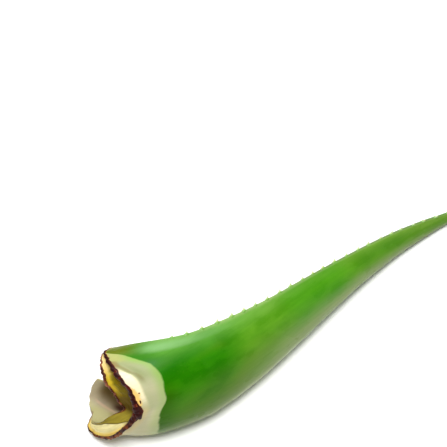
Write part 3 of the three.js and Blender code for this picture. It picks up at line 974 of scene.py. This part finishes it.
# Painted shade: a dark line where the flesh steps down behind the cream crescent.
olive = flesh.blend(flesh.ease(past_wing, 0.1, 0.0), olive, (70, 56, 16))
cream = flesh.blend(flesh.ease(flesh_through, 0.08, 0.34), (222, 190, 96), (232, 220, 160))
from_rim = flesh.calc("MINIMUM", flesh_through, flesh.calc("SUBTRACT", 1.0, flesh_through))
rim_stain = flesh.group(DRYING, flesh.times(from_rim, FLESH_MM), 0.8, 0.5, 4)[0]
from_rim_to_rim = flesh.band(flesh_through, [
    (0.0, (96, 66, 30)),
    (0.3, (96, 74, 2)),
    (0.62, (118, 106, 4)),
    (0.88, (214, 184, 48)),
    (1.0, (178, 116, 34)),
])
gel = flesh.paint(from_rim_to_rim, {
    "brown bend": (over(0.4, 0.08), (80, 58, 0)),
    "upper corner": (over(0.42, 0.76), corner),
    "olive wing with painted shade at its step": (over(-0.04, -0.14), olive),
    "cream crescent": (flesh.ease(past_wing, 0.02, -0.04), over(-0.1, -0.16), cream),
    "greyish wing edge": (over(-0.6, -0.68), (190, 178, 142)),
    "mottle": (flesh_mottle, 0.18, (150, 134, 48)),
    "layers": (flesh_layers, 0.22, (92, 72, 14)),
    "stain at the rims": (rim_stain, over(-0.2, -0.1), 0.8, (104, 46, 20)),
})
flesh.fill(flesh_shader, {
    "Base Color": gel,
    "Roughness": flesh.scaled(flesh_mottle, 0.2, 0.3),
    "Normal": flesh.bump(0.6, 0.0006, flesh.scaled(flesh_layers, 0.7, flesh.times(flesh_mottle, 0.5))),
    "IOR": 1.35,
    "Specular IOR Level": 0.05,
    "Subsurface Weight": 0.08,
    "Subsurface Radius": (1.0, 0.7, 0.2),
    "Subsurface Scale": 0.002,
})

# %% [markdown]
# ## The teeth and the dried crust
# A tooth is green at its foot, pale and a little see-through above, and its point
# is often brown and dry. The crust is nearly black where it is thick, dark red
# where light gets into it, and rusty orange along its thin edge on the skin.

# %% The finish of the teeth
tooth_material, tooth, tooth_shader = new_material("leaf_tooth_finish")
tooth_height = tooth.mark("height")
tooth_mottle = tooth.group(GROWTH, tooth.mark("from_cut"), tooth_height, 0.0, 5, 1, 1)[0]
tooth_ground = tooth.blend(tooth.ease(tooth_height, 0, 0.4), (104, 156, 56), (188, 204, 146))
tooth.fill(tooth_shader, {
    "Base Color": tooth.paint(tooth_ground, {
        "mottle": (tooth_mottle, 0.3, (150, 180, 98)),
        "dry point": (tooth.ease(tooth_height, 0.84, 0.98), (128, 84, 48)),
    }),
    "Roughness": tooth.scaled(tooth_mottle, 0.15, 0.35),
    "Subsurface Weight": 0.2,
    "Subsurface Scale": 0.002,
})


# %% The finish of the crust
def crust_finish(name, thick_colour, thin_colour, edge_colour, share_thin):
    """Dried juice: dark where thick, reddish where thin, rusty at its edge."""
    material, crust, shader = new_material(name)
    place = crust.place_in_mm()
    cracks = crust.noise(place, 2.2, detail=5.0, roughness=0.62)
    clots = crust.noise(place, 5.0, detail=2.0)
    on_lower_arm = crust.ease(crust.mark("side"), 0, -0.2)
    edge_reach = crust.scaled(clots, 0.7, crust.mark("outward"))
    crust.fill(shader, {
        "Base Color": crust.paint(thick_colour, {
            "thin crust": (crust.ease(clots, 0.62 - share_thin, 0.8 - share_thin), thin_colour),
            "cracks": (crust.ease(cracks, 0.5, 0.7), 0.4, (26, 3, 1)),
            "rusty lower arm": (on_lower_arm, crust.ease(clots, 0.42, 0.6), 0.7, (132, 78, 36)),
            "edge": (crust.ease(edge_reach, 1.36, 1.5), edge_colour),
        }),
        "Roughness": crust.scaled(cracks, 0.4, 0.2),
        "Normal": crust.bump(0.7, 0.0006, cracks),
        "Specular IOR Level": 0.12,
    })
    return material


outer_crust = crust_finish("outer_crust_finish", (44, 6, 4), (84, 18, 6), (150, 82, 46), 0.14)
inner_crust = crust_finish("inner_crust_finish", (66, 24, 14), (138, 82, 56), (96, 48, 30), 0.16)

# %% [markdown]
# ## Putting the leaf together
# The skin, the cut flesh and the teeth are one grown piece, so they are one mesh
# with three finishes. The two crusts are pieces of their own. All three stand for
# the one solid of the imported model. A bead has its half breadth and half height,
# in millimetres, at stations along its rim, and its inset as a share of the half
# breadth. On the thin wing the inner crust is a mere line.

# %% The pieces of the leaf
leaf_blade = leaf_mesh.build("leaf_blade", [skin_material, flesh_material, tooth_material])
outer_crust_mesh = Growing()
add_bead(
    outer_crust_mesh, 0,
    broad=[0.05, 0.1, 0.3, 0.7, 1.1, 1.7, 2.2, 3.4, 3.0, 2.2, 2.2, 2.1, 1.9, 1.6, 1.1, 0.5],
    high=[0.05, 0.1, 0.3, 0.5, 0.8, 1.0, 1.4, 2.3, 2.1, 1.4, 1.0, 0.9, 1.1, 0.8, 0.6, 0.3],
    inset=[0.3, 0.3, 0, -0.8, -1.1, -0.9, -0.2, 0.85, 1.0, 0.8, -0.4, -0.1, 1.0, 0.7, 0.6, 0.5],
)
for drop in ((1.5, -0.02, 3.0, 4.3, 1.6), (6.9, 0.24, 0.8, 0.6, 0.5), (4.4, 0.14, 0.7, 1.8, 0.5)):
    add_drop(outer_crust_mesh, *drop)
outer_rim = outer_crust_mesh.build("outer_dried_rim", [outer_crust])
inner_crust_mesh = Growing()
add_bead(
    inner_crust_mesh, 1,
    broad=[0.03] * 5 + [0.04, 0.12, 1.2, 1.1, 1.1, 1.2, 1.3, 1.5, 1.3, 0.8, 0.3],
    high=[0.03] * 5 + [0.05, 0.2, 0.8, 0.7, 0.7, 0.8, 0.9, 1.0, 0.9, 0.5, 0.2],
    inset=[0.3] * 16,
)
inner_rim = inner_crust_mesh.build("inner_dried_rim", [inner_crust])
for piece in (leaf_blade, outer_rim, inner_rim):
    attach(piece, "root")
    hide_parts("leaf")

# %% [markdown]
# ## Table, light and camera
# The leaf lies on a plain white table. Far from the leaf the table glows softly,
# and the camera sees the room as white, so the ground stays white in low views.

# %% The white table
HALF_TABLE = 3.0
corners = [(x * HALF_TABLE, y * HALF_TABLE, 0) for x, y in ((-1, -1), (1, -1), (1, 1), (-1, 1))]
table_mesh = bpy.data.meshes.new("table")
table_mesh.from_pydata(corners, [], [(0, 1, 2, 3)])
table = new_object("table", table_mesh)
table_material, table_wiring, table_shader = new_material("table_finish")
table_place = table_wiring.node("TexCoord").outputs["Object"]
from_leaf = table_wiring.node("VectorMath", table_place, operation="LENGTH").outputs["Value"]
table_wiring.fill(table_shader, {
    "Base Color": tint(246, 246, 246),
    "Roughness": 0.55,
    "Emission Color": tint(255, 255, 255),
    "Emission Strength": table_wiring.ease(from_leaf, 0.9, 2.5),
})
table_mesh.materials.append(table_material)
print("a table", 2 * HALF_TABLE, "m wide")

# %% [markdown]
# The room is bright only from above. A key panel hangs high over the camera's
# side and keeps the shadow narrow. A panel at the back gives the sheen along the
# upper margin, one lights the cut, and a small one the far part near the tip.

# %% Soft studio light
ROOM_LOW, ROOM_HIGH = 0.03, 0.75
room = bpy.data.worlds.new("bright_room")
room.use_nodes = True
room_wiring = Wiring(room.node_tree)
looking_at = room_wiring.node("TexCoord").outputs["Generated"]
height_seen = room_wiring.node("SeparateXYZ", looking_at).outputs["Z"]
room_strength = room_wiring.scaled(room_wiring.ease(height_seen, 0.7, 1.0), ROOM_HIGH - ROOM_LOW, ROOM_LOW)
seen_directly = room_wiring.node("LightPath").outputs["Is Camera Ray"]
room_wiring.fill(room.node_tree.nodes["Background"], {
    "Color": tint(255, 255, 255),
    "Strength": room_wiring.calc("MAXIMUM", room_strength, seen_directly),
})
bpy.context.scene.world = room


def soft_light(name, place, target, size, power):
    """A large soft panel that faces its target."""
    light = bpy.data.lights.new(name, "AREA")
    light.shape, light.size, light.size_y, light.energy = "RECTANGLE", *size, power
    lamp = new_object(name, light)
    lamp.location = place
    lamp.rotation_euler = (Vector(target) - Vector(place)).to_track_quat("-Z", "Y").to_euler()
    print(name, ":", power, "W")


soft_light("back_panel", (0.35, 1.05, 1.1), (-0.1, 0, 0), (1.6, 0.8), 11)
soft_light("cut_side_panel", (-1.4, 0.1, 0.9), (-0.1, 0, 0), (1.0, 1.0), 5)
soft_light("high_panel", (-0.25, -0.38, 2.15), (0, 0, 0), (0.9, 0.9), 50)
soft_light("tip_panel", (0.5, -0.4, 0.4), (0.12, 0, 0), (0.4, 0.4), 0.5)

# %% [markdown]
# The photograph was taken from over the cut end, looking 52 degrees down. Its
# exact frame is kept, so here too the tip runs out of the picture at the right.

# %% The camera at the photograph's angle
LOOK_AT = Vector(np.array([0, 147, 0]) * MM + FRAME_SHIFT)
AZIMUTH, ELEVATION, DISTANCE = math.radians(-34), math.radians(52), 1.0927
camera_data = bpy.data.cameras.new("camera")
camera_data.lens, camera_data.sensor_width = 80, 36
camera = new_object("camera", camera_data)
towards_camera = Vector((
    math.sin(AZIMUTH) * math.cos(ELEVATION), -math.cos(AZIMUTH) * math.cos(ELEVATION), math.sin(ELEVATION)
))
camera.location = LOOK_AT + towards_camera * DISTANCE
camera.rotation_euler = towards_camera.to_track_quat("Z", "Y").to_euler()
bpy.context.scene.camera = camera
bpy.context.scene.view_settings.view_transform = "Standard"
print("the camera looks down from", round(camera.location.z, 2), "m above the table")
